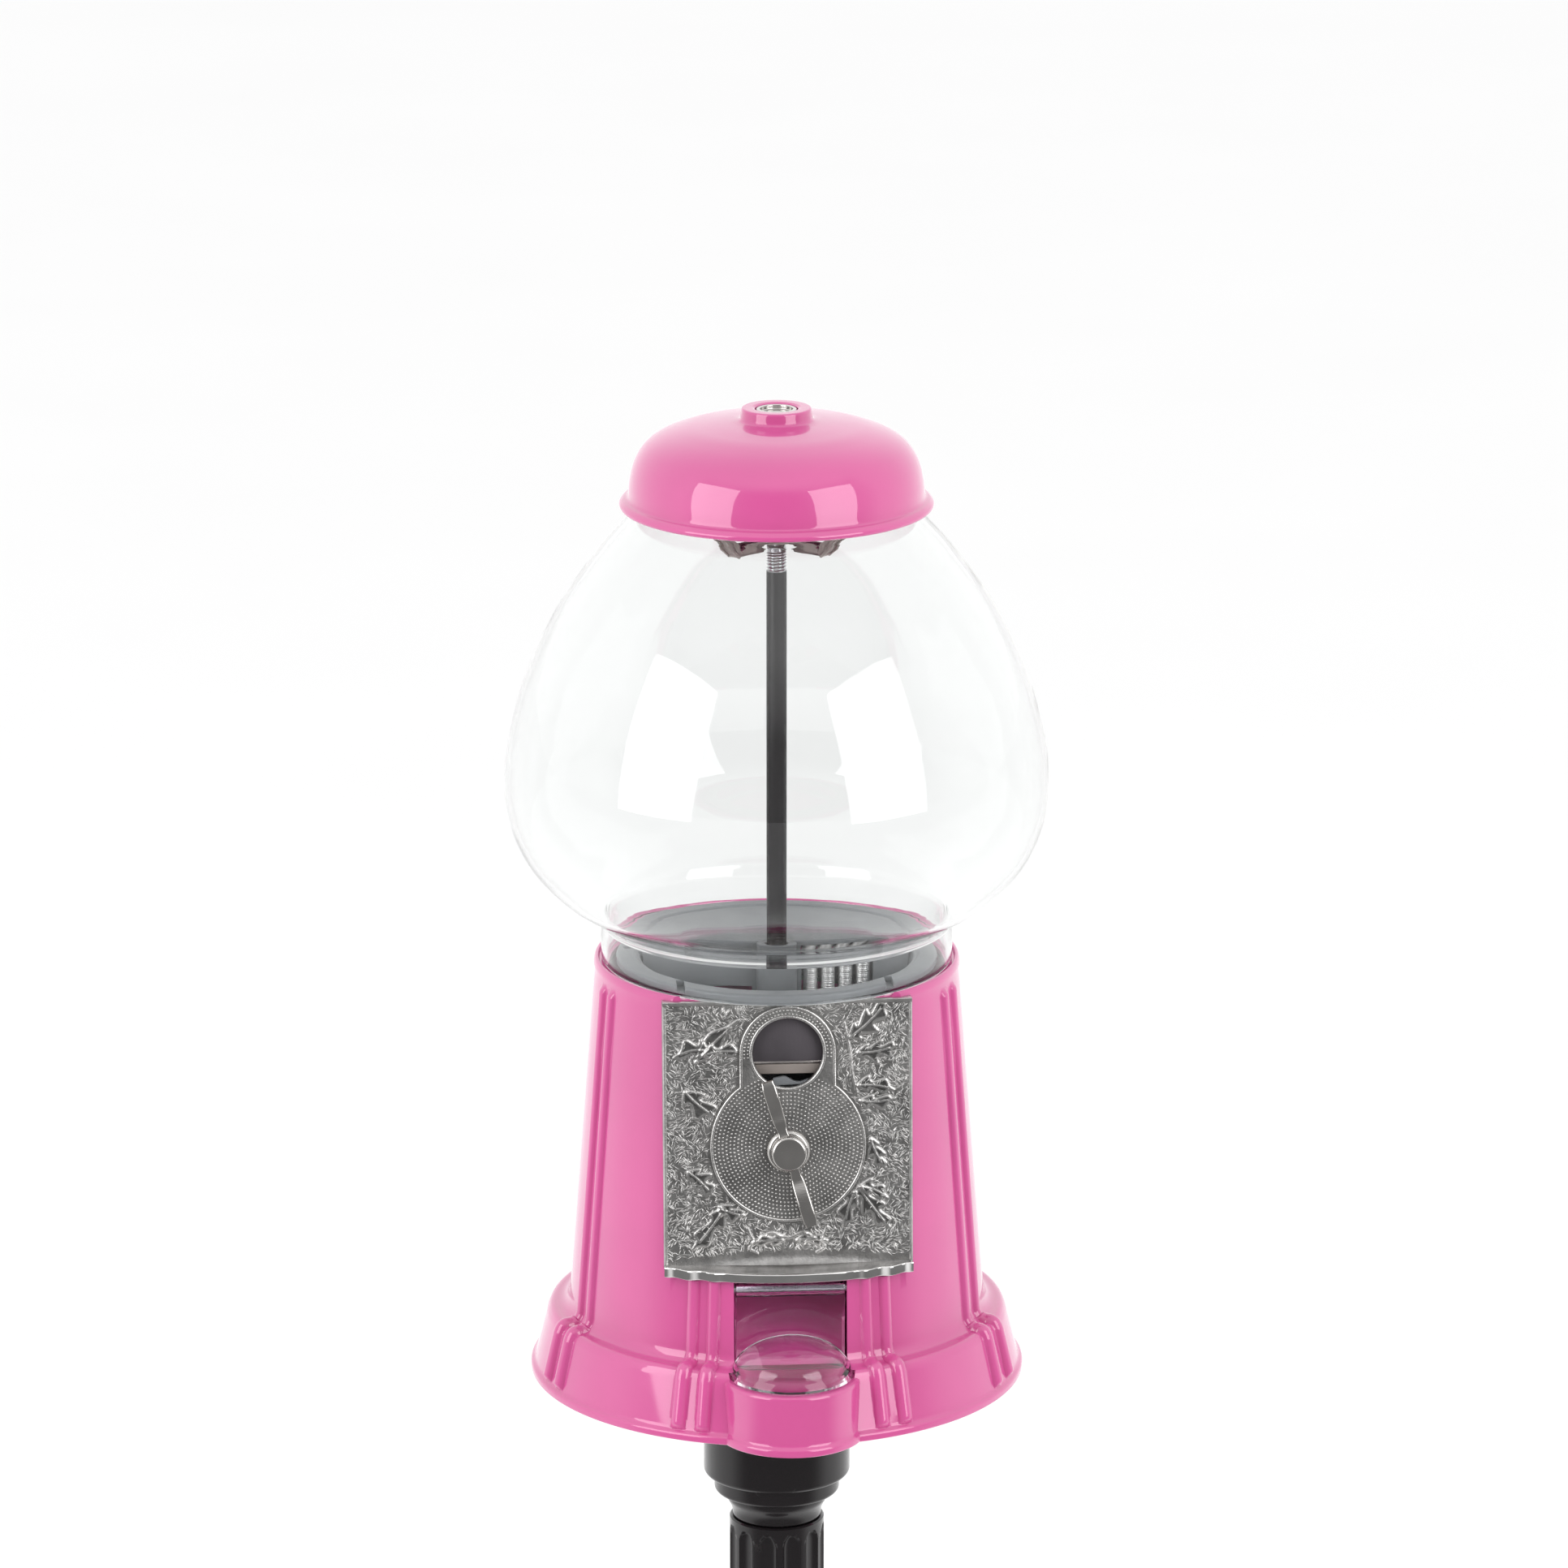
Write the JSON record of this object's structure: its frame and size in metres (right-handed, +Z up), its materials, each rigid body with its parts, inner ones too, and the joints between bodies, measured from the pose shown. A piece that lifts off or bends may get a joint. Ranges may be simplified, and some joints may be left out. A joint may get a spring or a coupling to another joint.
{
  "type": "gumball machine",
  "caption": "Globe-topped coin candy dispenser on a fluted pedestal, with turn handle, rotating dispensing wheel, flip-up chute door and lift-off globe and lid.",
  "frame": {"origin": "on the floor under the centre rod, in the middle of the stand's base", "axes": "+Z up the centre rod, -Y towards the coin plate and chute, +X to the right seen from the front"},
  "size_m": [0.28, 0.28, 0.9515],
  "materials": {
    "pink_enamel": "gloss",
    "black_enamel": "gloss",
    "grey_plastic": "satin",
    "olive_plastic": "satin",
    "clear_plastic": "clear",
    "globe_glass": "clear",
    "pewter": "cast with dark recesses",
    "polished_metal": "polished",
    "nickel_plate": "brushed",
    "plated_steel": "zinc plated",
    "dark_steel": "dark",
    "rubber": "matte"
  },
  "bodies": {
    "stand_and_base": {"stand_base": "black_enamel", "stand_foot_1": "rubber", "stand_foot_2": "rubber", "stand_foot_3": "rubber", "stand_foot_4": "rubber", "stand_pole_lower": "black_enamel", "stand_pole_coupling": "black_enamel", "stand_pole_upper": "black_enamel", "stand_top_collar": "black_enamel", "stand_tie_rod": "plated_steel", "tie_rod_washer": "plated_steel", "tie_rod_nut": "plated_steel", "rod_coupler": "plated_steel", "base_body": "pink_enamel", "chute_ramp": "pink_enamel", "base_floor": "black_enamel", "floor_screw_1": "plated_steel", "floor_screw_2": "plated_steel", "floor_screw_3": "plated_steel", "rod_washer_lower": "plated_steel", "rod_nut_lower": "plated_steel", "center_rod": "plated_steel", "door_pin": "plated_steel", "coin_plate": "pewter", "coin_shield": "dark_steel", "coin_bar": "olive_plastic", "coin_catch": "grey_plastic", "mechanism_frame": "plated_steel", "pawl_pin": "plated_steel", "pawl_spring": "plated_steel"},
    "chute_door": {"chute_door": "clear_plastic"},
    "handle": {"handle": "polished_metal", "handle_collar": "polished_metal", "handle_shaft": "plated_steel", "coin_carrier": "plated_steel", "carrier_spacer": "plated_steel", "drive_pinion": "grey_plastic", "shaft_nut": "plated_steel"},
    "pawl": {"pawl": "plated_steel"},
    "wheel_washer": {"wheel_washer": "plated_steel"},
    "dispensing_wheel": {"dispensing_wheel": "grey_plastic", "wing_plate": "nickel_plate"},
    "hopper_dish": {"hopper_dish": "grey_plastic", "hopper_spring_1": "polished_metal", "hopper_spring_2": "polished_metal", "hopper_spring_3": "polished_metal", "hopper_spring_4": "polished_metal"},
    "globe": {"globe": "globe_glass"},
    "spider": {"spider_ring": "olive_plastic", "spider_washer": "plated_steel", "spider_nut": "plated_steel"},
    "lid": {"lid": "pink_enamel", "lid_insert": "polished_metal"}
  },
  "joints": [
    {"name": "door_hinge", "type": "hinge", "parent": "stand_and_base", "child": "chute_door", "pos_m": [0, -0.075, 0.616], "axis": [-1, 0, 0], "range_deg": [0, 70]},
    {"name": "handle_turn", "type": "hinge", "parent": "stand_and_base", "child": "handle", "pos_m": [0, -0.06425, 0.669], "axis": [0, -0.9965, 0.0837], "continuous": true},
    {"name": "pawl_pivot", "type": "hinge", "parent": "stand_and_base", "child": "pawl", "pos_m": [0.015, -0.06685, 0.63811], "axis": [0, -0.9965, 0.0837], "range_deg": [0, 10], "stiffness_Nm_per_rad": 0.02, "springref_deg": -11.46},
    {"name": "wheel_lift", "type": "slide", "parent": "stand_and_base", "child": "wheel_washer", "axis": [0, 0, 1], "range_m": [0, 0.0575]},
    {"name": "wheel_spin", "type": "hinge", "parent": "wheel_washer", "child": "dispensing_wheel", "pos_m": [0, 0, 0.684], "axis": [0, 0, 1], "continuous": true},
    {"name": "dish_lift", "type": "slide", "parent": "wheel_washer", "child": "hopper_dish", "axis": [0, 0, 1], "range_m": [0, 0.0177]},
    {"name": "globe_lift", "type": "slide", "parent": "hopper_dish", "child": "globe", "axis": [0, 0, 1], "range_m": [0, 0.0306]},
    {"name": "spider_lift", "type": "slide", "parent": "wheel_washer", "child": "spider", "axis": [0, 0, 1], "range_m": [0, 0.0115]},
    {"name": "lid_lift", "type": "slide", "parent": "globe", "child": "lid", "axis": [0, 0, 1], "range_m": [0, 0.0312]}
  ],
  "couplings": [
    {"joint": "wheel_spin", "follows": "handle_turn", "ratio": -0.33333}
  ]
}
